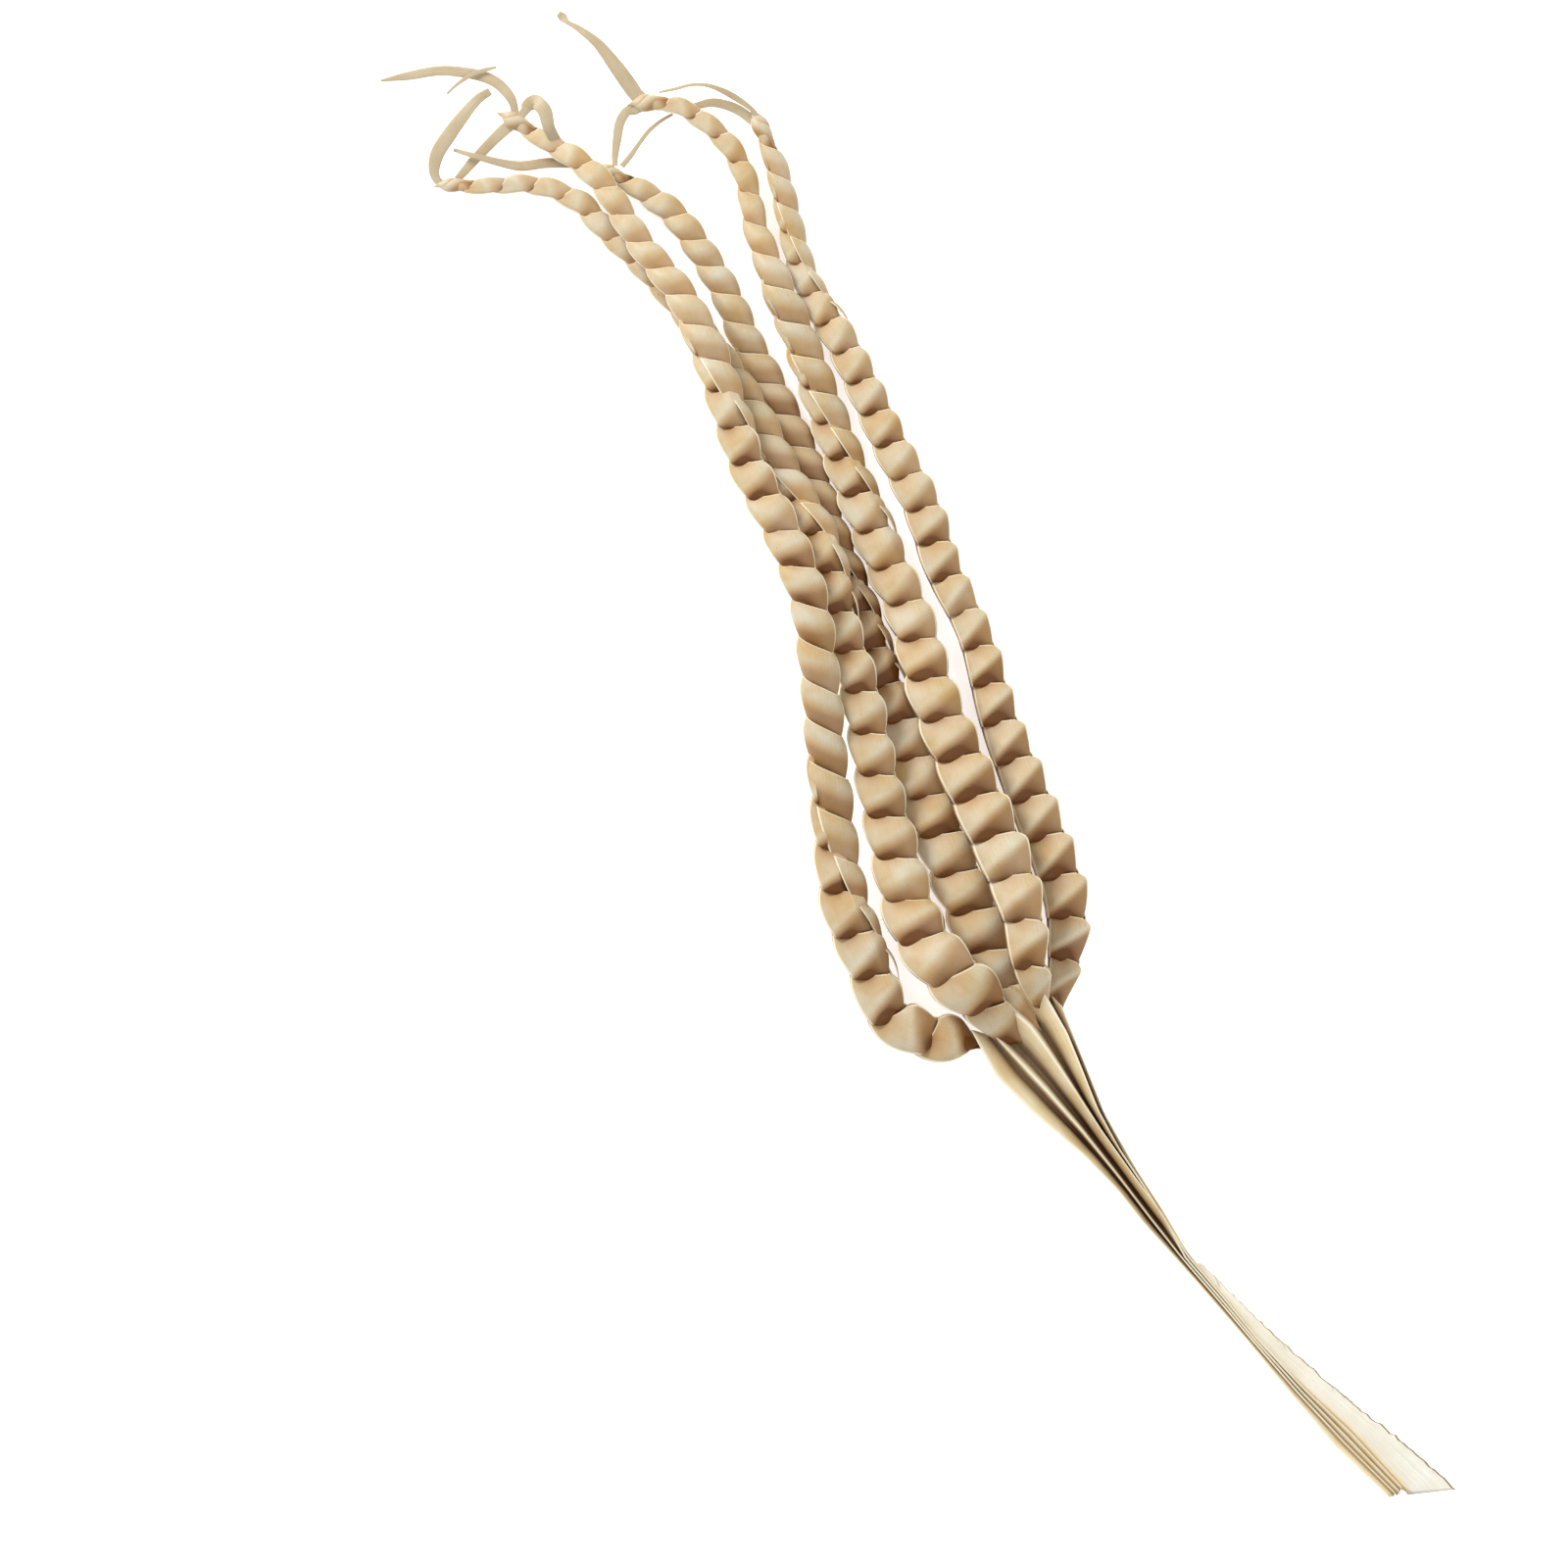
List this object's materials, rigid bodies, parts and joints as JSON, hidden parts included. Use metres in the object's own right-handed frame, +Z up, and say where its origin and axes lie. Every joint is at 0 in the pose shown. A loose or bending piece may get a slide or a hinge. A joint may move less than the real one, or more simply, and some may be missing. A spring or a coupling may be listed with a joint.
{
  "type": "dried palm leaf",
  "caption": "Dried palm leaf section with a folded blade base and curled, twisted segments that end in knots with loose tails, lying flat.",
  "frame": {"origin": "centre of the bounding box in plan, on the surface the leaf lies on", "axes": "+Y along the leaf from the cut end of the base to the tips, +Z up from the surface it lies on"},
  "size_m": [0.1609, 0.7753, 0.0434],
  "materials": {
    "blade": "pale dried leaf, satin, fine lengthwise fibres",
    "strand": "dried leaf strip, warm tan, satin, fine lengthwise fibres",
    "tail": "dried leaf strip, pale tan, satin"
  },
  "bodies": {
    "root": {"blade_base": "blade", "strand_1": "strand", "strand_2": "strand", "strand_3": "strand", "strand_4": "strand", "strand_5": "strand", "knot_1": "tail", "knot_2": "tail", "knot_3": "tail", "knot_4": "tail", "knot_5": "tail", "tail_1a": "tail", "tail_1b": "tail", "tail_1c": "tail", "loop_1": "tail", "tail_2a": "tail", "tail_2b": "tail", "tail_3a": "tail", "tail_3b": "tail", "tail_4a": "tail", "tail_4b": "tail", "tail_5a": "tail", "tail_5b": "tail"}
  },
  "joints": []
}
